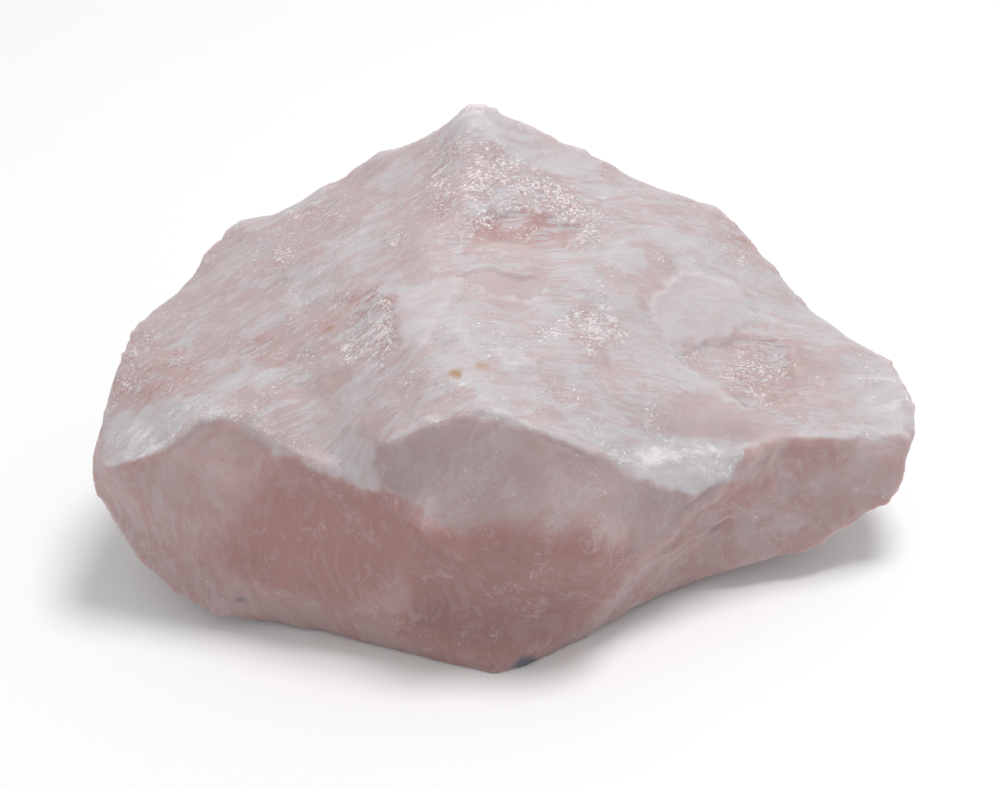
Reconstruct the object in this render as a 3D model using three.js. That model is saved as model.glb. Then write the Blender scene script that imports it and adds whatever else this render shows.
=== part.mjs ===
// A rough chunk of rose quartz: one broken piece of massive quartz, lying on its broadest face.
// It is one solid. Millimetres, +Z up, +X along the chunk, its steep broken side towards -Y.
// The origin is on the resting plane, under the middle of the chunk.

import * as THREE from 'three';
import { ConvexHull } from 'three/addons/math/ConvexHull.js';
import { ImprovedNoise } from 'three/addons/math/ImprovedNoise.js';

// Driving dimensions of the whole chunk.
const WIDTH = 178;
const DEPTH = 107;
const HEIGHT = 89;

// Each facet between landmarks is cut into four, this many times over.
const SPLITS = 2;

// Unevenness of the broken faces: depth, spacing, and the height over which it fades in above the base.
const ROUGH_DEPTH = 0.7;
const ROUGH_SPACING = 13;
const BASE_FADE = 8;

// A point well inside. Every landmark can be seen from it, which is what lets facetsBetween join them.
const HEART = new THREE.Vector3( 0, 2, 32 );

// The landmarks of the broken surface, [ x, y, z ], grouped by the edge or face they lie on.
const LANDMARKS = {

	// The lower edge of the steep front, from the left end round the near corner to the right end.
	frontFoot: [
		[ - 86, - 21, 24 ], [ - 78, - 26, 12 ], [ - 72, - 29, 7 ], [ - 61, - 34, 4 ], [ - 49, - 34, 1 ],
		[ - 33, - 37, 0 ], [ - 18, - 43, 0 ], [ - 1, - 49, 0 ], [ 6, - 46, 0 ], [ 19, - 37, 0 ],
		[ 30, - 29, 1 ], [ 41, - 22, 2 ], [ 58, - 19, 6 ], [ 72, - 16, 8 ], [ 80, - 12, 13 ], [ 86, - 11, 16 ],
	],

	// The blunt tips at both ends.
	leftTip: [[ - 87, - 22, 31 ]],
	rightTip: [[ 89, - 9, 22 ], [ 91, - 5, 30 ], [ 90, 4, 35 ]],

	// The bruised crest where the top breaks down into the front, from left to right.
	crest: [
		[ - 83, - 26, 37 ], [ - 72, - 28, 42 ], [ - 62, - 25, 50 ], [ - 52, - 26, 51 ], [ - 41, - 35, 47 ],
		[ - 31, - 38, 43 ], [ - 23, - 40, 41 ], [ - 23, - 39, 53 ], [ - 14, - 38, 57 ], [ - 4, - 35, 60 ],
		[ 6, - 38, 57 ], [ 18, - 36, 49 ], [ 31, - 32, 39 ], [ 40, - 26, 31 ], [ 49, - 21, 36 ],
		[ 61, - 16, 38 ], [ 77, - 11, 35 ],
	],

	// The skyline of the top, from the left tip over the peak to the right tip.
	skyline: [
		[ - 86, - 17, 39 ], [ - 83, - 5, 48 ], [ - 79, 8, 51 ], [ - 70, 20, 55 ], [ - 58, 31, 65 ], [ - 51, 33, 64 ],
		[ - 41, 36, 70 ], [ - 34, 38, 72 ], [ - 29, 38, 76 ], [ - 14, 38, 83 ], [ - 8, 38, 88 ], [ - 4, 38, 89 ],
		[ 2, 39, 86 ], [ 15, 40, 79 ], [ 28, 41, 71 ], [ 48, 40, 62 ], [ 55, 38, 57 ], [ 71, 27, 42 ],
		[ 77, 24, 39 ], [ 87, 15, 37 ],
	],

	// The low ridge that divides the top, from under the peak down to the crest.
	ridge: [[ - 10, 14, 76.5 ], [ - 15, 5, 73 ], [ - 20, - 12, 67 ], [ - 22, - 27, 60 ]],

	// The left half of the top, which slopes down to the left end.
	topLeft: [
		[ - 28, 24, 73 ], [ - 38, 12, 68 ], [ - 48, 22, 65 ], [ - 56, 10, 60 ], [ - 69, 12, 55 ], [ - 42, - 12, 58 ],
		[ - 64, - 5, 53 ], [ - 74, - 10, 48 ], [ - 52, - 18, 54 ], [ - 35, - 27, 53 ],
	],

	// The right half of the top.
	topRight: [
		[ 4, 28, 79 ], [ 16, 27, 73 ], [ 32, 22, 65 ], [ 44, 27, 60 ], [ - 3, - 2, 69 ], [ 21, - 3, 61 ],
		[ 40, - 2, 50 ], [ 56, 14, 49 ], [ 58, - 3, 43 ], [ 72, 4, 39 ], [ 8, - 22, 61 ], [ - 8, - 17, 67 ],
		[ - 14, - 28, 63 ], [ 30, - 18, 52 ], [ 46, - 13, 44 ],
	],

	// A triangular hollow in the top right half, its floor sinking towards a sharp near lip.
	hollowLip: [[ - 5, 9, 73 ], [ 6, 6, 70 ], [ 17, 9, 67 ]],
	hollowFloor: [[ - 1, 11, 71 ], [ 7, 11, 69 ], [ 14, 12, 67.5 ]],
	hollowTop: [[ 6, 20, 75 ]],

	// The hollowed face below the middle of the crest, and the belly line under it.
	frontHollow: [[ - 10, - 41, 48 ], [ 8, - 42.5, 46 ], [ 20, - 42, 38 ], [ 29, - 34, 31 ]],
	belly: [[ - 15, - 46, 39 ], [ - 9, - 48, 33 ], [ 1, - 48, 34 ], [ 10, - 49, 34 ], [ 20, - 47, 30 ]],

	// The steep left front, below the crest.
	frontLeft: [[ - 73, - 29, 28 ], [ - 58, - 33, 33 ], [ - 41, - 39, 26 ], [ - 53, - 36, 13 ], [ - 24, - 44, 18 ]],

	// The undercut face between the belly and the near corner.
	frontUndercut: [[ 4, - 47, 14 ], [ 12, - 43, 14 ]],

	// The edge that steps back from the belly to the right front, and the right front itself.
	stepEdge: [[ 34, - 33, 25 ], [ 28, - 36, 20 ], [ 22, - 39, 12 ]],
	frontRight: [[ 45, - 21, 15 ], [ 51, - 20, 24 ], [ 62, - 15, 26 ], [ 82, - 12, 29 ], [ 71, - 14, 17 ]],

	// The back: two broad broken faces that meet in a blunt corner. A shoulder under the skyline, a belly half
	// way up, and a lower edge.
	backShoulder: [[ - 50, 38, 53 ], [ - 24, 43, 65 ], [ 4, 49, 74 ], [ 24, 50, 60 ], [ 50, 41, 49 ], [ 72, 31, 36 ]],
	backBelly: [
		[ - 81, 12, 33 ], [ - 70, 30, 40 ], [ - 44, 39, 34 ], [ - 16, 48, 42 ], [ 14, 58, 50 ], [ 38, 48, 32 ],
		[ 62, 38, 30 ], [ 80, 26, 25 ], [ 88, 12, 20 ],
	],
	backFoot: [
		[ - 76, 4, 14 ], [ - 64, 22, 14 ], [ - 44, 31, 6 ], [ - 16, 40, 3 ], [ 10, 49, 14 ], [ 34, 39, 4 ],
		[ 58, 27, 13 ], [ 78, 10, 9 ],
	],

	// The flat face it rests on.
	base: [
		[ - 58, - 18, 0 ], [ - 50, 8, 0 ], [ - 30, 28, 0 ], [ - 5, 36, 0 ], [ 22, 34, 0 ], [ 44, 18, 0 ],
		[ 56, - 4, 0 ], [ 46, - 14, 0 ],
	],

};

// Joins the landmarks into facets. Seen from the heart they lie on a sphere, and the convex hull of their
// directions says which of them are neighbours; each facet then keeps the landmarks' real distances.
function facetsBetween( landmarks ) {

	const directions = landmarks.map( ( point ) => point.clone().sub( HEART ).normalize() );
	const index = new Map( directions.map( ( direction, i ) => [ direction, i ] ) );
	const hull = new ConvexHull().setFromPoints( directions );

	return hull.faces.map( ( face ) => {

		const corners = [ face.edge.prev, face.edge, face.edge.next ];
		return corners.map( ( edge ) => index.get( edge.head().point ) );

	} );

}

// Cuts every facet into four at the middles of its edges, which neighbouring facets share.
function splitFacets( points, facets ) {

	const middles = new Map();

	const middleOf = ( a, b ) => {

		const key = Math.min( a, b ) + '-' + Math.max( a, b );
		if ( ! middles.has( key ) ) {

			middles.set( key, points.length );
			points.push( points[ a ].clone().lerp( points[ b ], 0.5 ) );

		}

		return middles.get( key );

	};

	return facets.flatMap( ( [ a, b, c ] ) => {

		const ab = middleOf( a, b );
		const bc = middleOf( b, c );
		const ca = middleOf( c, a );
		return [[ a, ab, ca ], [ ab, b, bc ], [ ca, bc, c ], [ ab, bc, ca ]];

	} );

}

// Moves a point in or out from the heart by a smooth noise, and leaves the base flat.
function roughen( point ) {

	const noise = new ImprovedNoise();
	const at = point.clone().divideScalar( ROUGH_SPACING );
	const fade = THREE.MathUtils.smoothstep( point.z, 0, BASE_FADE );
	const outward = point.clone().sub( HEART ).normalize();
	point.addScaledVector( outward, ROUGH_DEPTH * fade * noise.noise( at.x, at.y, at.z ) );

}

// Brings the closed surface to the driving dimensions, with its bottom centre at the origin.
function fitToSize( geometry ) {

	geometry.computeBoundingBox();
	const size = geometry.boundingBox.getSize( new THREE.Vector3() );
	const centre = geometry.boundingBox.getCenter( new THREE.Vector3() );
	geometry.translate( - centre.x, - centre.y, - geometry.boundingBox.min.z );
	geometry.scale( WIDTH / size.x, DEPTH / size.y, HEIGHT / size.z );

}

function chunkGeometry() {

	const points = Object.values( LANDMARKS ).flat().map( ( xyz ) => new THREE.Vector3( ...xyz ) );
	let facets = facetsBetween( points );
	for ( let i = 0; i < SPLITS; i ++ ) facets = splitFacets( points, facets );
	points.forEach( roughen );

	const geometry = new THREE.BufferGeometry().setFromPoints( points );
	geometry.setIndex( facets.flat() );
	fitToSize( geometry );
	geometry.computeVertexNormals();
	return geometry;

}

const roseQuartz = new THREE.MeshStandardMaterial( { color: 0xcbb2b1, roughness: 0.38, metalness: 0 } );

const chunk = new THREE.Mesh( chunkGeometry(), roseQuartz );
chunk.name = 'quartz_chunk';

const part = new THREE.Group();
part.add( chunk );

export default part;
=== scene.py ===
# A rough chunk of rose quartz on a plain pale floor.
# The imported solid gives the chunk's shape and size. This script gives it a fine broken surface
# (rounded ridges, flakes, thin ledges along the quartz's sheets) and a milky, translucent pink material.

import collections
import itertools
import math

import bmesh
import bpy
import numpy as np
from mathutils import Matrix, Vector


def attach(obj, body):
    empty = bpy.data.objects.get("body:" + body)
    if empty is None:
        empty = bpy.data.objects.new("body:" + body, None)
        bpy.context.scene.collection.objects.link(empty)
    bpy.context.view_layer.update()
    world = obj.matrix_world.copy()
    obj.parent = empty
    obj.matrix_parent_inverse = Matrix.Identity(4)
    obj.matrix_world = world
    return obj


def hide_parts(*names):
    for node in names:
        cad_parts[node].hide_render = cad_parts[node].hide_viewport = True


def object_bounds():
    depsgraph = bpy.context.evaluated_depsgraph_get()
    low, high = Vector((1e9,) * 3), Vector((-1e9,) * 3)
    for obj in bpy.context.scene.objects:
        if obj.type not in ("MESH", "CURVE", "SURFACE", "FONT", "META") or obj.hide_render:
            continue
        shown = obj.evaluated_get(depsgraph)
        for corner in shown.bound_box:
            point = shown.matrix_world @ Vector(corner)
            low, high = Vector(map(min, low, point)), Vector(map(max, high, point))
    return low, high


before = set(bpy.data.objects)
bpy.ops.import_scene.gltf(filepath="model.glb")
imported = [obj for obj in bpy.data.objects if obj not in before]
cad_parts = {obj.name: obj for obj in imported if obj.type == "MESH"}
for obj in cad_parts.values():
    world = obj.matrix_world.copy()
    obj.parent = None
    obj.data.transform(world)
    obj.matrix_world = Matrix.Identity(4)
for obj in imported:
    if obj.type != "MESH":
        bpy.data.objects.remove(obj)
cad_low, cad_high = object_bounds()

NODE = "quartz_chunk"
PIECE = "rose_quartz_chunk"
MM = 0.001

# Everything about the stone is in millimetres, in the frame of the CAD.
LOW = np.array(cad_low) / MM
HIGH = np.array(cad_high) / MM

# The size of the finished mesh's quads.
GRID = 0.8


def at(across, deep, up):
    """The place in millimetres that is that far across the CAD box, from 0 to 1 along each side."""
    return LOW + (HIGH - LOW) * np.array([across, deep, up])


# The quartz is healed along one family of thin sheets. Broken faces show them as streaks and ledges.
SHEET_NORMAL = Vector((-0.32, 0.94, -0.10)).normalized()
SHEET_ALONG = SHEET_NORMAL.cross(Vector((0, 0, 1))).normalized()
SHEET_ACROSS = SHEET_NORMAL.cross(SHEET_ALONG)
SHEETS = np.array([SHEET_NORMAL, SHEET_ALONG, SHEET_ACROSS])


# ---------------------------------------------------------------- noise

# The random numbers that all the noise is made from, and the same numbers as directions.
TABLE_SIZE = 4096
TABLE = np.random.default_rng(11).uniform(-1, 1, (TABLE_SIZE, 3))
SLOPES = TABLE / np.linalg.norm(TABLE, axis=1)[:, None]


def ramp(value, low, high):
    """0 below low, 1 above high, and smooth between them."""
    t = np.clip((value - low) / (high - low), 0, 1)
    return t * t * (3 - 2 * t)


# Large numbers that scramble the numbers of a cell. They wrap round at the last one.
SCRAMBLE = np.array([73856093, 19349663, 83492791])
SEED_STEP = 9176263
REMIX = 668265263
WORD = 4294967296


def number_of(cell, seed):
    """A number from 0 to TABLE_SIZE - 1 for each whole-numbered cell, always the same for the same cell."""
    mixed = cell.astype(np.int64) @ SCRAMBLE + seed * SEED_STEP
    mixed = (mixed ^ (mixed >> 15)) * REMIX % WORD
    return (mixed ^ (mixed >> 13)) % TABLE_SIZE


# Brings the strongest bump of the noise to about 1.
NOISE_GAIN = 1.7


def noise(points, grain, seed):
    """Smooth noise between about -1 and 1 whose bumps are grain apart."""
    scaled = points / grain
    home = np.floor(scaled)
    part = scaled - home
    ease = part * part * part * (part * (part * 6 - 15) + 10)
    total = np.zeros(len(points))
    for corner in itertools.product((0, 1), repeat=3):
        corner = np.array(corner)
        weight = np.prod(np.where(corner == 1, ease, 1 - ease), axis=1)
        slope = SLOPES[number_of(home + corner, seed)]
        total += weight * np.einsum("ij,ij->i", slope, part - corner)
    return NOISE_GAIN * total


def rough_noise(points, grain, seed, layers=3):
    """Noise with finer, weaker noise on it."""
    return sum(noise(points, grain / 2 ** i, seed + i) / 2 ** i for i in range(layers))


def warped(points, grain, far, seed):
    """The points, each moved up to about far by a smooth noise, so that what they carry isn't straight."""
    moves = [noise(points, grain, seed + i) for i in range(3)]
    return points + far * np.stack(moves, axis=1)


# How far a scoop's middle strays from its cell's, how much a scoop leans, and how much deeper one is than
# another.
STRAY = 0.45
LEAN = 0.7
DEEPER = 0.15

# A step in the table of random numbers. It gives a scoop numbers that have nothing to do with its place.
OTHER_NUMBERS = 977


def scoops(points, size, seed):
    """A surface broken by overlapping shallow scoops about size wide, with sharp ridges where they meet.
    For each point: its height, about 0 to 1, and three random numbers that belong to its scoop."""
    scaled = points / size
    home = np.floor(scaled)
    lowest = np.full(len(points), np.inf)
    lot = np.zeros_like(points)
    for step in itertools.product((-1, 0, 1), repeat=3):
        number = number_of(home + np.array(step), seed)
        away = scaled - (home + np.array(step) + 0.5 + STRAY * TABLE[number])
        own = TABLE[(number + OTHER_NUMBERS) % TABLE_SIZE]
        height = (away * away).sum(1) + LEAN * (away * own).sum(1) + DEEPER * own[:, 0]
        lower = height < lowest
        lowest = np.where(lower, height, lowest)
        lot[lower] = own[lower]
    return lowest, lot


# ---------------------------------------------------------------- the stone's skin

class Skin:
    """The stone's surface: a mesh, with its points kept in millimetres."""

    def __init__(self, mesh):
        self.mesh = mesh
        self.points = self.read(mesh.vertices, "co") / MM
        edges = np.zeros(len(mesh.edges) * 2, np.int32)
        mesh.edges.foreach_get("vertices", edges)
        self.start = np.concatenate([edges[0::2], edges[1::2]])
        self.end = np.concatenate([edges[1::2], edges[0::2]])
        self.neighbours = np.bincount(self.start, minlength=len(self.points))

    def read(self, items, name):
        """A value of three numbers for each of the mesh's items."""
        values = np.zeros(len(items) * 3, np.float32)
        items.foreach_get(name, values)
        return values.reshape(-1, 3).astype(float)

    def normals(self):
        """The way the surface faces at each point."""
        self.write()
        return self.read(self.mesh.vertex_normals, "vector")

    def write(self):
        """Puts the points back into the mesh."""
        self.mesh.vertices.foreach_set("co", (self.points * MM).astype(np.float32).ravel())
        self.mesh.update()

    def mean(self, values):
        """Each point's value, averaged over its neighbours."""
        columns = np.atleast_2d(values.T)
        sums = [np.bincount(self.start, column[self.end], len(self.points)) for column in columns]
        return (np.array(sums) / self.neighbours).T.reshape(values.shape)

    def blur(self, values, width):
        """The values, spread over about width millimetres."""
        for _ in range(max(1, round(2 * (width / GRID) ** 2))):
            values = 0.5 * (values + self.mean(values))
        return values

    def smooth(self, width, strength):
        """Smooths the surface over about width millimetres, by a strength from 0 to 1 at each point."""
        for _ in range(max(1, round(2 * (width / GRID) ** 2))):
            self.points += 0.5 * strength[:, None] * (self.mean(self.points) - self.points)

    def push(self, distance):
        """Moves each point along the surface's broad direction."""
        direction = self.blur(self.normals(), width=1.4)
        direction /= np.linalg.norm(direction, axis=1)[:, None]
        self.points += distance[:, None] * direction

    def store(self, name, values):
        """Keeps a value for each point on the mesh, where the material reads it."""
        layer = self.mesh.attributes.new(name, "FLOAT", "POINT")
        layer.data.foreach_set("value", values.astype(np.float32))


def even_copy(node):
    """The CAD node's surface as a new mesh of small even quads."""
    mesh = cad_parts[node].data.copy()
    body = bmesh.new()
    body.from_mesh(mesh)
    bmesh.ops.remove_doubles(body, verts=body.verts, dist=0.01 * MM)
    body.to_mesh(mesh)
    body.free()
    draft = bpy.data.objects.new("draft", mesh)
    bpy.context.scene.collection.objects.link(draft)
    remesh = draft.modifiers.new("even", "REMESH")
    remesh.mode = "VOXEL"
    remesh.voxel_size = GRID * MM
    graph = bpy.context.evaluated_depsgraph_get()
    even = bpy.data.meshes.new_from_object(draft.evaluated_get(graph))
    bpy.data.objects.remove(draft)
    return even


# Ridges where two broken faces meet: how far they reach to each side and how high they stand in
# millimetres, and the line they follow.
RIDGES = [
    # the crest above the hollowed front face, from left to right
    (3.0, 0.3, [at(0.36, 0.09, 0.59), at(0.41, 0.10, 0.64), at(0.47, 0.13, 0.67), at(0.52, 0.11, 0.64),
                at(0.59, 0.13, 0.55), at(0.66, 0.16, 0.43), at(0.71, 0.21, 0.35)]),
    # the crest above the left front
    (3.0, 0.5, [at(0.03, 0.22, 0.42), at(0.08, 0.20, 0.47), at(0.14, 0.22, 0.56), at(0.20, 0.21, 0.57),
                at(0.26, 0.13, 0.53), at(0.31, 0.11, 0.49), at(0.36, 0.09, 0.46)]),
    # from that crest down to the belly
    (2.5, 0.4, [at(0.36, 0.09, 0.46), at(0.40, 0.03, 0.43), at(0.44, 0.01, 0.36)]),
    # the crest above the right front
    (3.0, 0.5, [at(0.71, 0.21, 0.35), at(0.77, 0.27, 0.39), at(0.84, 0.31, 0.42), at(0.92, 0.36, 0.39),
                at(0.98, 0.41, 0.35)]),
    # the edge where the belly steps back to the right front
    (3.0, 1.2, [at(0.75, 0.26, 0.33), at(0.71, 0.21, 0.29), at(0.67, 0.15, 0.23), at(0.62, 0.10, 0.15)]),
    # a thin ledge below it
    (2.0, 0.7, [at(0.76, 0.27, 0.23), at(0.71, 0.21, 0.19), at(0.66, 0.15, 0.18)]),
    # between the two faces of the right front
    (2.5, 0.5, [at(0.82, 0.30, 0.40), at(0.81, 0.30, 0.28), at(0.85, 0.30, 0.18)]),
]

# A dark crevice under the edge where the belly steps back.
CREVICE = [at(0.76, 0.27, 0.22), at(0.71, 0.21, 0.17), at(0.67, 0.16, 0.17)]

# Panels: stretches of the surface with an edge of their own. The outlines of those on top are seen from
# above, (across, deep), and of those in front from the front, (across, up), as shares of the CAD box.
# softness is how soft the edge is and rise how far the panel stands out, in millimetres. The others say
# how much milkier, deeper pink and rougher it is than the surface round it.
Panel = collections.namedtuple("Panel", "softness rise milky pink rough outline")
TOP_PANELS = [
    # the hollow under the peak, its clear floor, a clear scar at its foot, and a lens-shaped scar below that
    Panel(softness=3.0, rise=0.0, milky=-0.10, pink=0.15, rough=0.5,
          outline=[(0.40, 0.74), (0.41, 0.50), (0.45, 0.48), (0.58, 0.62), (0.63, 0.72), (0.50, 0.76)]),
    Panel(softness=2.0, rise=0.0, milky=-0.20, pink=0.12, rough=0.5,
          outline=[(0.45, 0.54), (0.50, 0.68), (0.55, 0.71), (0.61, 0.68), (0.59, 0.58)]),
    Panel(softness=0.7, rise=-0.4, milky=-0.14, pink=0.26, rough=-0.9,
          outline=[(0.44, 0.48), (0.48, 0.59), (0.50, 0.62), (0.59, 0.64), (0.57, 0.57), (0.50, 0.50)]),
    Panel(softness=0.5, rise=-0.5, milky=-0.40, pink=0.0, rough=-0.6,
          outline=[(0.44, 0.44), (0.49, 0.455), (0.55, 0.47), (0.53, 0.425), (0.48, 0.40)]),
    # a smooth pale panel beside the dividing ridge
    Panel(softness=0.9, rise=0.4, milky=0.20, pink=-0.1, rough=-0.6,
          outline=[(0.38, 0.27), (0.37, 0.37), (0.42, 0.43), (0.45, 0.43), (0.43, 0.35), (0.41, 0.27)]),
    # small clear scars
    Panel(softness=0.8, rise=-0.3, milky=-0.22, pink=0.1, rough=-0.4,
          outline=[(0.62, 0.50), (0.66, 0.57), (0.69, 0.59), (0.67, 0.53)]),
    Panel(softness=0.8, rise=-0.3, milky=-0.30, pink=0.3, rough=-0.2,
          outline=[(0.60, 0.34), (0.62, 0.37), (0.63, 0.31), (0.61, 0.29)]),
    # white clouds
    Panel(softness=2.0, rise=0.3, milky=0.35, pink=-0.1, rough=0.0,
          outline=[(0.62, 0.56), (0.62, 0.63), (0.65, 0.64), (0.66, 0.58), (0.64, 0.54)]),
    Panel(softness=2.0, rise=0.0, milky=0.22, pink=-0.1, rough=0.0,
          outline=[(0.66, 0.69), (0.70, 0.72), (0.76, 0.69), (0.73, 0.63), (0.68, 0.62)]),
    Panel(softness=1.5, rise=0.4, milky=0.45, pink=-0.1, rough=0.2,
          outline=[(0.48, 0.25), (0.51, 0.27), (0.53, 0.25), (0.51, 0.21)]),
    # a large smooth plate on the right, the clearer panel below its edge, and a clear stretch beside that
    Panel(softness=0.9, rise=0.5, milky=0.20, pink=-0.1, rough=-0.5,
          outline=[(0.66, 0.51), (0.71, 0.62), (0.77, 0.66), (0.80, 0.58), (0.75, 0.48), (0.69, 0.44)]),
    Panel(softness=0.9, rise=-0.4, milky=-0.26, pink=0.10, rough=0.2,
          outline=[(0.70, 0.42), (0.77, 0.53), (0.84, 0.54), (0.86, 0.42), (0.78, 0.36)]),
    Panel(softness=2.0, rise=0.0, milky=-0.24, pink=0.1, rough=-0.3,
          outline=[(0.83, 0.38), (0.84, 0.56), (0.92, 0.60), (0.93, 0.44)]),
    # a hackly clear patch in the middle
    Panel(softness=1.5, rise=0.0, milky=-0.20, pink=0.1, rough=0.5,
          outline=[(0.52, 0.32), (0.56, 0.40), (0.61, 0.47), (0.64, 0.42), (0.61, 0.34)]),
    # a clear smooth stretch above the right end of the crest
    Panel(softness=1.5, rise=-0.2, milky=-0.24, pink=0.1, rough=-0.5,
          outline=[(0.69, 0.28), (0.73, 0.37), (0.80, 0.34), (0.85, 0.34), (0.80, 0.28), (0.72, 0.25)]),
    # the left half: a clear panel, a glittering patch beside it, a dark band below, and a clear end
    Panel(softness=1.0, rise=-0.3, milky=-0.24, pink=0.2, rough=0.2,
          outline=[(0.26, 0.46), (0.35, 0.42), (0.33, 0.32), (0.22, 0.31), (0.17, 0.37)]),
    Panel(softness=1.5, rise=0.0, milky=-0.06, pink=0.1, rough=1.1,
          outline=[(0.31, 0.36), (0.35, 0.42), (0.37, 0.35), (0.36, 0.24), (0.31, 0.28)]),
    Panel(softness=0.8, rise=-0.3, milky=-0.26, pink=0.15, rough=-0.2,
          outline=[(0.22, 0.27), (0.31, 0.27), (0.31, 0.23), (0.26, 0.23)]),
    Panel(softness=2.5, rise=0.0, milky=-0.10, pink=0.0, rough=0.0,
          outline=[(0.02, 0.30), (0.02, 0.40), (0.07, 0.45), (0.12, 0.40), (0.09, 0.32)]),
    # stretches along the crest, from left to right; the first and the last are bruised white
    Panel(softness=1.5, rise=0.2, milky=0.30, pink=-0.2, rough=0.2,
          outline=[(0.0, 0.16), (0.02, 0.30), (0.11, 0.30), (0.20, 0.25), (0.14, 0.18), (0.06, 0.14)]),
    Panel(softness=2.0, rise=0.0, milky=0.02, pink=0.0, rough=0.0,
          outline=[(0.20, 0.20), (0.25, 0.26), (0.36, 0.24), (0.37, 0.08), (0.26, 0.10)]),
    Panel(softness=1.5, rise=0.0, milky=-0.06, pink=0.0, rough=0.1,
          outline=[(0.36, 0.06), (0.38, 0.20), (0.48, 0.20), (0.62, 0.21), (0.66, 0.12), (0.50, 0.06)]),
    Panel(softness=1.2, rise=0.3, milky=0.75, pink=-0.3, rough=0.3,
          outline=[(0.61, 0.12), (0.65, 0.20), (0.72, 0.26), (0.79, 0.28), (0.74, 0.20), (0.70, 0.14)]),
]
# On the front, a panel's deeper pink and its smoothness also darken it with painted shade.
FRONT_PANELS = [
    # clear rose: the core of the left front, the undercut below the belly, and a spot on the right
    Panel(softness=4.0, rise=0.0, milky=-0.12, pink=0.3, rough=0.0,
          outline=[(0.17, 0.20), (0.20, 0.40), (0.26, 0.54), (0.35, 0.47), (0.42, 0.36), (0.30, 0.12)]),
    Panel(softness=4.5, rise=0.0, milky=-0.24, pink=1.0, rough=0.0,
          outline=[(0.38, 0.08), (0.40, 0.36), (0.46, 0.42), (0.59, 0.40), (0.64, 0.26), (0.58, 0.08)]),
    Panel(softness=3.0, rise=0.0, milky=-0.08, pink=0.2, rough=0.0,
          outline=[(0.83, 0.42), (0.92, 0.41), (0.91, 0.31), (0.85, 0.31)]),
    # the greyish hollowed face below the middle of the crest, and its paler left part
    Panel(softness=0.5, rise=0.0, milky=-0.04, pink=-0.4, rough=-0.3,
          outline=[(0.35, 0.49), (0.35, 0.60), (0.46, 0.69), (0.55, 0.62), (0.66, 0.46), (0.74, 0.38),
                   (0.76, 0.33), (0.70, 0.28), (0.64, 0.24), (0.59, 0.36), (0.52, 0.39), (0.46, 0.39),
                   (0.41, 0.44)]),
    Panel(softness=1.5, rise=0.0, milky=0.06, pink=-0.2, rough=0.0,
          outline=[(0.35, 0.49), (0.36, 0.60), (0.42, 0.67), (0.46, 0.60), (0.48, 0.50), (0.46, 0.39),
                   (0.41, 0.44)]),
    # a pale facet between the left front and the greyish face, and a white bruise where the crest dips
    Panel(softness=0.8, rise=0.0, milky=0.38, pink=-0.5, rough=0.0,
          outline=[(0.19, 0.58), (0.23, 0.52), (0.35, 0.47), (0.35, 0.62)]),
    Panel(softness=1.2, rise=0.3, milky=0.95, pink=-0.3, rough=0.3,
          outline=[(0.62, 0.52), (0.72, 0.47), (0.79, 0.43), (0.76, 0.36), (0.71, 0.35), (0.66, 0.43)]),
]


def distance_to(points, line):
    """How far each point is from the nearest place on a line."""
    nearest = np.full(len(points), np.inf)
    for start, end in zip(line, line[1:]):
        run = end - start
        share = np.clip((points - start) @ run / (run @ run), 0, 1)
        nearest = np.minimum(nearest, np.linalg.norm(points - start - share[:, None] * run, axis=1))
    return nearest


def ridges_on(points):
    """How high the named ridges stand at each point, and how near a ridge it is, from 0 to 1."""
    height = np.zeros(len(points))
    nearness = np.zeros(len(points))
    for width, peak, line in RIDGES:
        share = np.maximum(0, 1 - distance_to(points, line) / width)
        height = np.maximum(height, peak * share)
        nearness = np.maximum(nearness, share)
    return height, nearness


def depth_inside(flat, outline):
    """How far inside a closed outline each flat point lies, and below 0 outside it."""
    inside = np.zeros(len(flat), bool)
    nearest = np.full(len(flat), np.inf)
    for start, end in zip(outline, np.roll(outline, -1, axis=0)):
        run = end - start
        share = np.clip((flat - start) @ run / (run @ run), 0, 1)
        nearest = np.minimum(nearest, np.linalg.norm(flat - start - share[:, None] * run, axis=1))
        crossing = (flat[:, 1] < start[1]) != (flat[:, 1] < end[1])
        level = (flat[:, 1] - start[1]) / (run[1] if run[1] else 1)
        inside ^= crossing & (flat[:, 0] < start[0] + level * run[0])
    return np.where(inside, nearest, -nearest)


# Behind this, in millimetres, there are no panels.
PANELS_END = 35


def panels_on(points, top):
    """What the panels add at each point: how far it stands out, milkiness, depth of pink and roughness."""
    added = np.zeros((len(points), 4))
    for axes, panels, weight in (([0, 1], TOP_PANELS, top), ([0, 2], FRONT_PANELS, 1 - top)):
        weight = weight * (points[:, 1] < PANELS_END)
        for softness, *changes, outline in panels:
            outline = LOW[axes] + (HIGH - LOW)[axes] * np.array(outline)
            share = weight * ramp(depth_inside(points[:, axes], outline), -softness, softness)
            added += share[:, None] * np.array(changes)
    return added


# How much of an edge's sharpness the smoothing leaves.
EDGE_KEPT = 0.9

# How high the breaks stand in millimetres, on rough faces, on clear ones and along edges. The swells are
# broad and low.
ROUGH_SLAB = 0.7
ROUGH_CHIP = 0.34
ROUGH_GRIT = 0.16
CLEAR_CHIP = 0.22
CLEAR_GRIT = 0.09
CLEAR_DENT = 0.55
EDGE_CHIP = 0.5
EDGE_WAVER = 0.7
CREVICE_DEPTH = 0.8
SWELL = 0.45
BACK_SWELL = 1.1

# How much milkier or clearer one scoop can be than the next, for each size of scoop.
SLAB_TINT = 0.20
CHIP_TINT = 0.22
SHELL_TINT = 0.08

# The middle height of small scoops and of large ones. Taking it off keeps a face from standing proud.
# Edges are chipped proud of it, so they take off less.
MIDDLE = 0.4
WIDE_MIDDLE = 0.3
LOW_MIDDLE = 0.2


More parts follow.
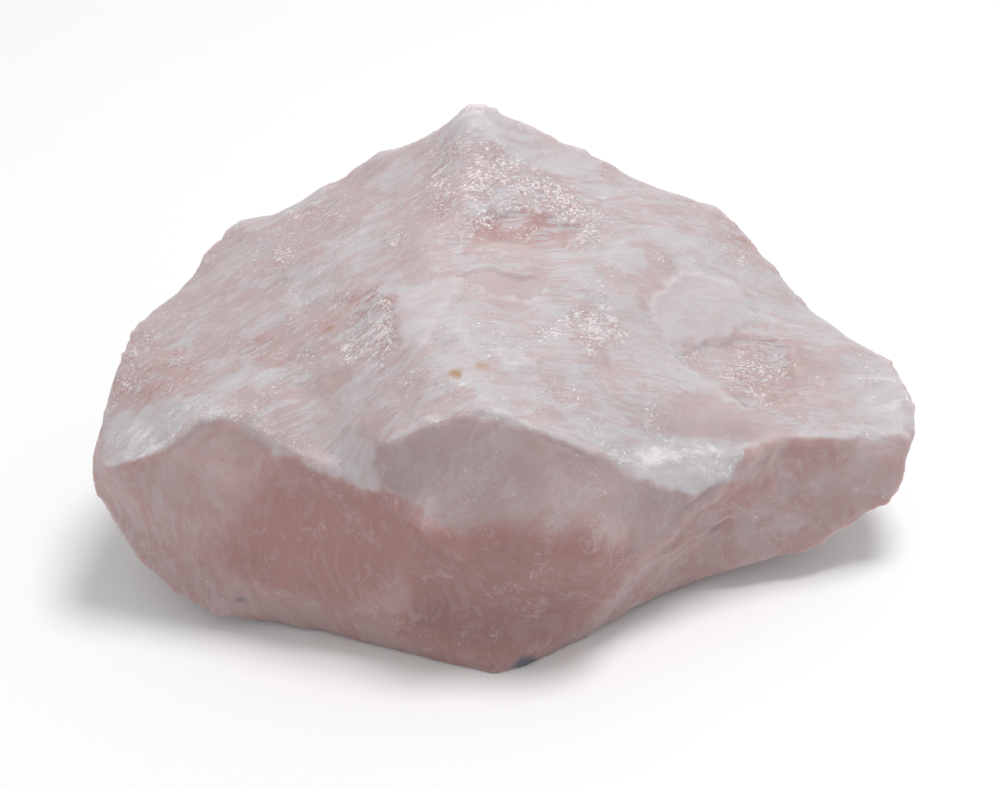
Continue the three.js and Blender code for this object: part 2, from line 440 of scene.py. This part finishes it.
def edges_of(skin, bent):
    """How near each point is to an edge between two broken faces, from 0 to 1."""
    flat = skin.normals()
    crease = np.linalg.norm(flat - skin.blur(flat, width=2.0), axis=1)
    return np.maximum(skin.blur(ramp(crease, 0.12, 0.30), width=0.8), ridges_on(bent)[1])


def facing(skin):
    """The surface's broad direction at each point, and how far it belongs to the top and to the front."""
    broad = skin.blur(skin.normals(), width=1.6)
    broad /= np.linalg.norm(broad, axis=1)[:, None]
    top = ramp(broad[:, 2], 0.50, 0.64)
    front = ramp(-broad[:, 1], 0.35, 0.7) * (1 - top)
    return broad, top, front


def ragged_panels(points, top):
    """What the panels add at each point, with ragged borders."""
    ragged = warped(warped(points, grain=12, far=1.7, seed=50), grain=4, far=1.0, seed=60)
    return panels_on(warped(ragged, grain=1.7, far=0.5, seed=65), top)


def roughness_of(points, top, front, panels):
    """How hackly the break is at each point: 0 where it is smooth and clear, 1 where it is rough."""
    side = (1 - top) * (1 - front)
    patches = ramp(noise(points, grain=24, seed=40), -0.25, 0.1)
    hackly = 0.75 * top + 0.8 * side * patches + 0.1 * front
    return np.clip(hackly + panels[:, 3], 0, 1.3)


def break_surface(skin):
    """Gives the skin its ridges, scoops and ledges, and returns what the material needs to know."""
    bent = warped(warped(skin.points, grain=11.0, far=1.3, seed=70), grain=3.5, far=0.5, seed=80)
    edge = edges_of(skin, bent)
    skin.smooth(width=3.4, strength=1 - EDGE_KEPT * ramp(edge, 0.1, 0.6))
    skin.smooth(width=0.8, strength=np.ones(len(edge)))

    broad, top, front = facing(skin)
    side = (1 - top) * (1 - front)
    foot = ramp(skin.points[:, 2], 0.1, 1.6)
    panels = ragged_panels(skin.points, top)
    hackly = roughness_of(skin.points, top, front, panels)

    where = warped(skin.points, grain=9.0, far=1.4, seed=20)
    sheeted = warped(skin.points, grain=14.0, far=2.0, seed=30) @ SHEETS.T
    long = sheeted * np.array([1.0, 0.55, 0.55])
    swell = SWELL * rough_noise(where, grain=17.0, seed=1, layers=2)
    swell = swell + side * BACK_SWELL * noise(where, grain=30.0, seed=8)
    slabs, slab_lot = scoops(long, size=8.0, seed=2)
    chips, chip_lot = scoops(long, size=3.1, seed=3)
    grit = scoops(sheeted * np.array([1.0, 0.6, 0.6]), size=1.7, seed=4)[0]
    shells, shell_lot = scoops(where, size=22.0, seed=5)
    dents = scoops(where, size=9.0, seed=6)[0]
    ridge = ridges_on(bent)[0]

    bowls = (0.9 + 1.2 * side) * (shells - WIDE_MIDDLE) + CLEAR_DENT * (dents - WIDE_MIDDLE)
    skin.push(foot * (swell + ridge + panels[:, 0] + (1 - hackly) * bowls))
    rough = ROUGH_SLAB * (slabs - MIDDLE) + ROUGH_CHIP * (chips - MIDDLE) + ROUGH_GRIT * (grit - MIDDLE)
    skin.push(foot * hackly * rough)
    chipped = EDGE_CHIP * ramp(edge, 0.2, 0.9) * (chips - LOW_MIDDLE)
    skin.push(foot * (1 - hackly) * (CLEAR_CHIP * chips + CLEAR_GRIT * grit + chipped))
    skin.push(foot * ramp(edge, 0.1, 0.7) * EDGE_WAVER * rough_noise(where, grain=6.5, seed=90, layers=2))
    skin.push(-CREVICE_DEPTH * (1 - ramp(distance_to(bent, CREVICE), 0.2, 1.3)))
    skin.points[:, 2] = np.maximum(skin.points[:, 2], LOW[2])

    bulge = np.einsum("ij,ij->i", skin.points - skin.blur(skin.points, width=2.2), broad)
    facets = hackly * (SLAB_TINT * slab_lot[:, 1] + CHIP_TINT * chip_lot[:, 1])
    facets = facets + SHELL_TINT * (1 - hackly) * shell_lot[:, 1]
    return stains_and_painted_shade_of(skin, panels, hackly, top, front, ramp(bulge, 0.05, 0.35), facets)


# ---------------------------------------------------------------- where the stone is milky or deep pink, and where painted shade darkens its front

# Each is a place in the CAD box, how far it reaches along x, y and z in millimetres, and how strong it is.
# At each point only the strongest counts.
MILKY = [
    (at(0.47, 0.78, 0.97), (10, 10, 9), 0.7),
    (at(0.42, 0.27, 0.74), (10, 18, 10), 0.5),
    (at(0.43, 0.16, 0.68), (12, 6, 6), 0.2),
    (at(0.60, 0.18, 0.56), (9, 5, 6), 0.5),
    (at(0.68, 0.20, 0.45), (10, 6, 6), 1.0),
    (at(0.72, 0.24, 0.41), (7, 5, 5), 1.0),
    (at(0.07, 0.23, 0.47), (12, 6, 6), 0.9),
    (at(0.13, 0.25, 0.55), (9, 5, 5), 0.8),
    (at(0.28, 0.21, 0.59), (14, 6, 6), 0.3),
    (at(0.18, 0.31, 0.60), (9, 3, 4), 1.0),
    (at(0.34, 0.24, 0.66), (10, 4, 5), 0.8),
    (at(0.97, 0.49, 0.40), (7, 10, 9), 0.8),
    (at(0.17, 0.72, 0.72), (10, 8, 8), 0.5),
    (at(0.32, 0.56, 0.79), (11, 3, 5), 0.8),
    (at(0.23, 0.42, 0.66), (5, 3, 3), 0.8),
    (at(0.27, 0.47, 0.71), (8, 3, 4), 0.7),
    (at(0.83, 0.31, 0.20), (6, 6, 6), 0.5),
]
DEEP_PINK = [
    (at(0.24, 0.71, 0.76), (16, 9, 8), 0.5),
    (at(0.26, 0.60, 0.72), (14, 6, 7), 0.4),
    (at(0.07, 0.39, 0.55), (11, 14, 9), 0.5),
    (at(0.36, 0.29, 0.72), (5, 10, 8), 0.4),
    (at(0.36, 0.36, 0.75), (3, 4, 4), 0.7),
    (at(0.84, 0.48, 0.49), (18, 14, 9), 0.4),
    (at(0.80, 0.80, 0.63), (12, 10, 8), 0.5),
    (at(0.29, 0.08, 0.31), (24, 12, 17), 0.5),
    (at(0.49, 0.01, 0.09), (30, 14, 12), 0.6),
    (at(0.78, 0.27, 0.30), (9, 6, 5), 0.4),
]
# small spots of iron rust, and of dark mineral
RUST = [
    (at(0.44, 0.20, 0.70), (1.4, 1.4, 1.4), 1.0),
    (at(0.47, 0.22, 0.71), (2.0, 1.0, 1.4), 0.7),
    (at(0.29, 0.37, 0.69), (0.9, 0.9, 0.9), 0.8),
    (at(0.71, 0.21, 0.21), (4.0, 2.0, 1.0), 0.5),
]
DARK_MINERAL = [
    (at(0.52, 0.03, 0.01), (3.2, 4.0, 2.2), 1.0),
    (at(0.18, 0.13, 0.10), (1.8, 1.2, 0.9), 0.7),
    (at(0.23, 0.53, 0.71), (0.8, 0.8, 0.8), 0.6),
]


def spread_of(points, places):
    """How strongly the nearest of the places reaches each point."""
    strongest = np.zeros(len(points))
    for place, reach, strength in places:
        away = np.linalg.norm((points - place) / np.array(reach), axis=1)
        strongest = np.maximum(strongest, strength * ramp(1.25 - away, 0, 0.9))
    return strongest


# How milky the stone is by itself, and how much milkier each of these makes it.
VEIL = 0.30
TOP_RIGHT_VEIL = 0.20
TOP_LEFT_VEIL = 0.02
FRONT_VEIL = -0.12
FAR_RIGHT_VEIL = 0.12
SIDE_VEIL = 0.3
MILKY_VEIL = 0.45
PINK_VEIL = -0.28
RIDGE_VEIL = 0.15

# How deep its pink is by itself, and how much deeper or paler each of these makes it.
PINK = 0.25
PINK_PLACES = 0.5
FRONT_PINK = 0.25
TOP_PALER = 0.07
TOP_RIGHT_PALER = 0.13

# Painted shade on the front: how much by itself, low down, in its pink panels and in its smooth ones.
BASE_PAINTED_SHADE = 0.03
LOW_PAINTED_SHADE = 0.36
PINK_PANEL_PAINTED_SHADE = 0.4
SMOOTH_PANEL_PAINTED_SHADE = 0.85

# How much the top glitters by itself, in deep pink places, in rough panels and by chance; then the other
# faces by themselves and in rough panels, and the rough breaks of the back and the ends.
# Glitter tilts and cleans the small chips, and also thickens the white specks painted as glints.
TOP_GLITTER = 0.3
PINK_GLITTER = 0.5
ROUGH_GLITTER = 0.7
CHANCE_GLITTER = 0.3
FACE_GLITTER = 0.08
FACE_ROUGH_GLITTER = 1.4
SIDE_GLITTER = 0.5


def stains_and_painted_shade_of(skin, panels, hackly, top, front, ridge, facets):
    """The amounts that the material reads at each point: milkiness, depth of pink, painted shade on the
    front, roughness and glitter.
    """
    ragged = warped(warped(skin.points, grain=12, far=2.4, seed=50), grain=4, far=1.2, seed=60)
    side = (1 - top) * (1 - front)
    right = ramp(ragged[:, 0], -16, -8)
    far_right = front * ramp(ragged[:, 0], 38, 52)
    low_down = 1 - ramp(ragged[:, 2], 6, 34)
    milky = spread_of(ragged, MILKY) * (0.25 + 0.75 * top)
    pink = spread_of(ragged, DEEP_PINK)
    _, milkier, pinker, rougher = panels.T

    veil = VEIL + TOP_RIGHT_VEIL * top * right + TOP_LEFT_VEIL * top * (1 - right) + FRONT_VEIL * front
    veil = veil + FAR_RIGHT_VEIL * far_right
    veil = veil + SIDE_VEIL * side * rough_noise(skin.points, grain=26, seed=97, layers=2)
    veil = veil + facets + MILKY_VEIL * milky + PINK_VEIL * pink * (1 - 0.5 * milky)
    veil = veil + RIDGE_VEIL * ridge * top + milkier
    paler = top * (TOP_PALER + TOP_RIGHT_PALER * right)
    deep = PINK + PINK_PLACES * pink + FRONT_PINK * front - paler + pinker
    # painted shade: the front is darkened low down, where it lies in shade, and on its pink and smooth
    # panels
    painted_shade = BASE_PAINTED_SHADE + LOW_PAINTED_SHADE * low_down + PINK_PANEL_PAINTED_SHADE * np.clip(pinker, 0, 1)
    painted_shade = front * (painted_shade + SMOOTH_PANEL_PAINTED_SHADE * np.clip(-rougher, 0, 1))

    chance = noise(skin.points, grain=9, seed=95)
    on_top = TOP_GLITTER + PINK_GLITTER * pink + ROUGH_GLITTER * rougher + CHANCE_GLITTER * chance
    glitter = top * np.clip(on_top, 0.03, 1.2)
    on_faces = (1 - top) * (FACE_GLITTER + FACE_ROUGH_GLITTER * np.clip(rougher, 0, 1))
    glitter += on_faces + SIDE_GLITTER * side * np.clip(hackly, 0, 1)
    near = warped(skin.points, grain=1.5, far=0.5, seed=68)
    return {"veil": veil, "deep": deep, "painted_shade": painted_shade, "hackly": hackly, "glitter": glitter,
            "rust": spread_of(near, RUST), "dark": spread_of(near, DARK_MINERAL)}


def stone_piece():
    """The finished stone, standing in for the CAD node."""
    mesh = even_copy(NODE)
    skin = Skin(mesh)
    for name, values in break_surface(skin).items():
        skin.store(name, values)
    skin.write()
    mesh.name = PIECE
    mesh.shade_smooth()
    stone = bpy.data.objects.new(PIECE, mesh)
    bpy.context.scene.collection.objects.link(stone)
    mesh.materials.clear()
    mesh.materials.append(rose_quartz())
    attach(stone, "root")
    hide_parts(NODE)
    return stone


# ---------------------------------------------------------------- material

def new_material(name):
    """An empty node material, its tree and its shader."""
    material = bpy.data.materials.new(name)
    material.use_nodes = True
    return material, material.node_tree, material.node_tree.nodes["Principled BSDF"]


class Nodes:
    """Short calls that add nodes to a material's tree. Each gives back the socket that holds its result."""

    def __init__(self, tree):
        self.tree = tree

    def add(self, kind, result, values, **settings):
        """A node with these values, or sockets to take them from, and these settings."""
        node = self.tree.nodes.new(kind)
        for name, setting in settings.items():
            setattr(node, name, setting)
        for name, value in values.items():
            if isinstance(value, bpy.types.NodeSocket):
                self.tree.links.new(value, node.inputs[name])
            else:
                node.inputs[name].default_value = value
        return node.outputs[result]

    def amount(self, name):
        """A value that the skin has stored."""
        return self.add("ShaderNodeAttribute", "Fac", {}, attribute_name=name)

    def math(self, operation, first, second):
        return self.add("ShaderNodeMath", 0, {0: first, 1: second}, operation=operation)

    def dot(self, vector, direction):
        return self.add("ShaderNodeVectorMath", "Value", {0: vector, 1: direction}, operation="DOT_PRODUCT")

    def vector(self, operation, first, second):
        return self.add("ShaderNodeVectorMath", "Vector", {0: first, 1: second}, operation=operation)

    def scaled(self, vector, thick, long):
        """The vector in units that are thick along its first axis and long along the other two."""
        return self.vector("MULTIPLY", vector, (1 / thick, 1 / long, 1 / long))

    def noise(self, vector, thick, long, detail, roughness, distortion):
        """Noise from 0 to 1 whose bumps are thick along the first axis and long along the other two."""
        values = {"Vector": self.scaled(vector, thick, long), "Scale": 1.0, "Detail": detail,
                  "Roughness": roughness, "Distortion": distortion}
        return self.add("ShaderNodeTexNoise", "Fac", values)

    def ramp(self, value, low, high, start=0.0, end=1.0):
        """start where the value is low, end where it is high, and smooth between them."""
        values = {"Value": value, "From Min": low, "From Max": high, "To Min": start, "To Max": end}
        return self.add("ShaderNodeMapRange", "Result", values, interpolation_type="SMOOTHSTEP")

    def swing(self, noise, far, low=0.3, high=0.7):
        """A noise as a smooth change between -far and far."""
        return self.ramp(noise, low, high, -far, far)

    def line(self, noise, thin, wide, strength):
        """Lines where a noise passes through its middle, that strong on the line and 0 away from it."""
        away = self.math("ABSOLUTE", self.math("SUBTRACT", noise, 0.5), 0.0)
        return self.ramp(away, thin, wide, strength, 0.0)

    def mix(self, amount, first, second):
        """The first colour where the amount is 0 and the second where it is 1."""
        node = self.tree.nodes.new("ShaderNodeMix")
        node.data_type = "RGBA"
        colours = [socket for socket in node.inputs if socket.type == "RGBA"]
        for socket, value in ((node.inputs[0], amount), (colours[0], first), (colours[1], second)):
            if isinstance(value, bpy.types.NodeSocket):
                self.tree.links.new(value, socket)
            else:
                socket.default_value = value
        return [socket for socket in node.outputs if socket.type == "RGBA"][0]


# The stone's colours, as linear light.
PALE_PINK = (0.50, 0.395, 0.395, 1)
DEEP_ROSE = (0.44, 0.235, 0.22, 1)
# a darker rose, painted as shade on the front faces
PAINTED_SHADE_ROSE = (0.255, 0.14, 0.13, 1)
MILK = (0.545, 0.52, 0.54, 1)
# the white of bruises, flecks and frost, also used for the painted glints
FROST_AND_PAINTED_GLINT_WHITE = (0.84, 0.81, 0.82, 1)
RUSTY = (0.42, 0.25, 0.13, 1)
SLATE = (0.13, 0.15, 0.18, 1)

# How the stone takes light: quartz's index of refraction, how much of the light enters it, how far that
# spreads in metres, and what share of that far red, green and blue go.
REFRACTION = 1.544
ENTERING = 0.8
SPREAD = 0.004
SPREAD_OF_COLOURS = (1.0, 0.6, 0.55)


def places_in(nodes):
    """The place of each point in millimetres, and the same place measured across and along the sheets."""
    metres = nodes.add("ShaderNodeTexCoord", "Object", {})
    place = nodes.scaled(metres, MM, MM)
    along_sheets = [nodes.dot(place, tuple(axis)) for axis in SHEETS]
    return place, nodes.add("ShaderNodeCombineXYZ", "Vector", dict(zip("XYZ", along_sheets)))


def veiled_rose(nodes, place, sheets, clusters, streaks, crinkle):
    """Pink that deepens where the stone is clear, darkened by painted shade on the front, under white veils
    that are densest at the bruises.
    """
    clouds = nodes.noise(place, thick=13, long=13, detail=5, roughness=0.6, distortion=0.6)
    veins = nodes.noise(sheets, thick=2.6, long=14, detail=6, roughness=0.6, distortion=0.7)
    fine = nodes.math("ADD", nodes.swing(streaks, 0.07), nodes.swing(crinkle, 0.09))
    fine = nodes.math("MULTIPLY", fine, nodes.ramp(clusters, 0.56, 0.44, 0.1, 1.0))
    broad = nodes.math("ADD", nodes.swing(clouds, 0.14), nodes.swing(veins, 0.17, 0.45, 0.55))
    broad = nodes.math("MULTIPLY", broad, nodes.ramp(nodes.amount("hackly"), 0.0, 0.8, 0.6, 1.0))
    milkiness = nodes.math("ADD", nodes.amount("veil"), nodes.math("ADD", broad, fine))
    depth = nodes.math("ADD", nodes.amount("deep"), nodes.swing(clouds, 0.2))

    colour = nodes.mix(nodes.ramp(depth, 0.1, 1.0), PALE_PINK, DEEP_ROSE)
    # painted shade: the front darkened towards the shaded rose by the stored amount of painted shade
    colour = nodes.mix(nodes.amount("painted_shade"), colour, PAINTED_SHADE_ROSE)
    colour = nodes.mix(nodes.ramp(milkiness, 0.05, 1.05), colour, MILK)
    return nodes.mix(nodes.ramp(milkiness, 0.95, 1.7, 0.0, 0.85), colour, FROST_AND_PAINTED_GLINT_WHITE)


def healed_cracks(nodes, sheets, clusters):
    """Thin lines of healed cracks: long ones along the sheets where it is rough, and curled ones."""
    curls = nodes.noise(sheets, thick=2.2, long=5, detail=3, roughness=0.55, distortion=1.4)
    curls = nodes.line(curls, thin=0.01, wide=0.09, strength=0.24)
    curls = nodes.math("MULTIPLY", curls, nodes.ramp(clusters, 0.48, 0.64))
    lines = nodes.noise(sheets, thick=1.3, long=11, detail=2, roughness=0.5, distortion=0.3)
    lines = nodes.line(lines, thin=0.02, wide=0.10, strength=0.75)
    lines = nodes.math("MULTIPLY", lines, nodes.ramp(clusters, 0.52, 0.42))
    lines = nodes.math("MULTIPLY", lines, nodes.ramp(nodes.amount("hackly"), 0.0, 0.8, 0.12, 1.0))
    return nodes.math("MAXIMUM", curls, lines)


def white_flecks(nodes, sheets):
    """White flecks with crisp edges, lying along the sheets."""
    flecks = nodes.noise(sheets, thick=1.6, long=5, detail=5, roughness=0.7, distortion=0.5)
    flecks = nodes.math("ADD", flecks, nodes.ramp(nodes.amount("hackly"), 0.2, 1.2, -0.2, 0.0))
    return nodes.ramp(flecks, 0.58, 0.63, 0.0, 0.5)


def frost_and_painted_glints(nodes, clusters, crinkle, glitter):
    """White specks along the sheets: crushed frost, and painted glints that are thickest where the break
    glitters.
    """
    frost = nodes.math("ADD", crinkle, nodes.swing(clusters, 0.07))
    frost = nodes.math("ADD", frost, nodes.ramp(glitter, 0, 1, -0.13, 0.06))
    return nodes.ramp(frost, 0.54, 0.70, 0.0, 0.9)


def small_chips(nodes, sheets, glitter):
    """Small flat chips, each tilted its own way: how high each point stands, and how rough it is to light.
    A few of the chips are clean and glint; the others are matt."""
    places = nodes.scaled(sheets, 0.35, 0.8)
    voronoi = nodes.tree.nodes.new("ShaderNodeTexVoronoi")
    voronoi.inputs["Scale"].default_value = 1.0
    nodes.tree.links.new(places, voronoi.inputs["Vector"])
    across = nodes.vector("SUBTRACT", places, voronoi.outputs["Position"])
    lean = nodes.vector("SUBTRACT", voronoi.outputs["Color"], (0.5, 0.5, 0.5))
    height = nodes.math("MULTIPLY", nodes.dot(across, lean), nodes.ramp(glitter, 0, 1, 0.01, 0.34))
    lot = nodes.dot(voronoi.outputs["Color"], (0.5, 0.3, 0.2))
    cleaner = nodes.math("ADD", lot, nodes.ramp(glitter, 0, 0.9, -0.4, 0.09))
    return height, nodes.ramp(cleaner, 0.56, 0.68, 0.55, 0.12)


def rose_quartz():
    """Milky rose quartz, with its veils, painted shade on the front, healed cracks, flecks, frost with
    painted glints, stains and fine relief.
    """
    material, tree, shader = new_material("rose_quartz")
    nodes = Nodes(tree)
    place, sheets = places_in(nodes)
    glitter = nodes.amount("glitter")
    clusters = nodes.noise(place, thick=7, long=7, detail=3, roughness=0.6, distortion=0.5)
    streaks = nodes.noise(sheets, thick=0.7, long=4.5, detail=3, roughness=0.6, distortion=0.2)
    crinkle = nodes.noise(sheets, thick=0.34, long=0.8, detail=3, roughness=0.65, distortion=0.3)

    colour = veiled_rose(nodes, place, sheets, clusters, streaks, crinkle)
    colour = nodes.mix(healed_cracks(nodes, sheets, clusters), colour, MILK)
    colour = nodes.mix(white_flecks(nodes, sheets), colour, FROST_AND_PAINTED_GLINT_WHITE)
    # white specks, partly crushed frost and partly painted glints
    colour = nodes.mix(frost_and_painted_glints(nodes, clusters, crinkle, glitter), colour, FROST_AND_PAINTED_GLINT_WHITE)
    colour = nodes.mix(nodes.amount("rust"), colour, RUSTY)
    colour = nodes.mix(nodes.amount("dark"), colour, SLATE)
    tree.links.new(colour, shader.inputs["Base Color"])

    chips, roughness = small_chips(nodes, sheets, glitter)
    tree.links.new(roughness, shader.inputs["Roughness"])
    ripples = nodes.math("MULTIPLY", crinkle, nodes.ramp(glitter, 0, 1, 0.04, 0.20))
    grain = nodes.math("MULTIPLY", streaks, nodes.ramp(nodes.amount("hackly"), 0, 1, 0.08, 0.22))
    height = nodes.math("ADD", nodes.math("ADD", chips, ripples), grain)
    bump = nodes.add("ShaderNodeBump", "Normal", {"Strength": 1.0, "Distance": MM, "Height": height})
    tree.links.new(bump, shader.inputs["Normal"])

    shader.inputs["IOR"].default_value = REFRACTION
    shader.inputs["Subsurface Weight"].default_value = ENTERING
    shader.inputs["Subsurface Radius"].default_value = SPREAD_OF_COLOURS
    shader.inputs["Subsurface Scale"].default_value = SPREAD
    return material


# ---------------------------------------------------------------- studio

# Half the floor's width in metres: wide enough for its far edge to stay out of sight.
FLOOR_REACH = 30.0
PAPER = (0.90, 0.90, 0.90, 1)


def floor():
    """A plain pale floor."""
    mesh = bpy.data.meshes.new("floor")
    corners = [(x * FLOOR_REACH, y * FLOOR_REACH, 0) for x, y in ((-1, -1), (1, -1), (1, 1), (-1, 1))]
    mesh.from_pydata(corners, [], [(0, 1, 2, 3)])
    plane = bpy.data.objects.new("floor", mesh)
    bpy.context.scene.collection.objects.link(plane)
    material, tree, shader = new_material("floor_paper")
    shader.inputs["Base Color"].default_value = PAPER
    shader.inputs["Roughness"].default_value = 0.8
    mesh.materials.append(material)


def area_light(name, place, aim, size, power):
    """A round soft light at a place, pointed at its aim."""
    light = bpy.data.lights.new(name, "AREA")
    light.shape = "DISK"
    light.size = size
    light.energy = power
    lamp = bpy.data.objects.new(name, light)
    lamp.location = place
    lamp.rotation_euler = (Vector(aim) - Vector(place)).to_track_quat("-Z", "Y").to_euler()
    bpy.context.scene.collection.objects.link(lamp)


def sky(strength):
    """Even white light from all round."""
    world = bpy.data.worlds.new("studio")
    bpy.context.scene.world = world
    world.use_nodes = True
    background = world.node_tree.nodes["Background"]
    background.inputs["Color"].default_value = (1, 1, 1, 1)
    background.inputs["Strength"].default_value = strength


# The camera looks at this place, in metres, from this high above the floor and this far off.
AIM = (-0.0018, -0.0044, 0.038)
ELEVATION = math.radians(35)
DISTANCE = 0.513

# The camera's lens and sensor in millimetres.
LENS = 85
SENSOR_WIDTH = 36


def camera():
    """The camera, in front of the stone and above it."""
    data = bpy.data.cameras.new("camera")
    data.lens = LENS
    data.sensor_width = SENSOR_WIDTH
    data.clip_start = 0.01
    back = Vector((0, -math.cos(ELEVATION), math.sin(ELEVATION)))
    eye = bpy.data.objects.new("camera", data)
    eye.location = Vector(AIM) + DISTANCE * back
    eye.rotation_euler = (-back).to_track_quat("-Z", "Y").to_euler()
    bpy.context.scene.collection.objects.link(eye)
    bpy.context.scene.camera = eye


stone_piece()
floor()
area_light("key", place=(0.18, 0.06, 0.95), aim=(0, 0, 0.04), size=0.35, power=5.3)
sky(strength=0.62)
camera()
bpy.context.scene.view_settings.view_transform = "Standard"
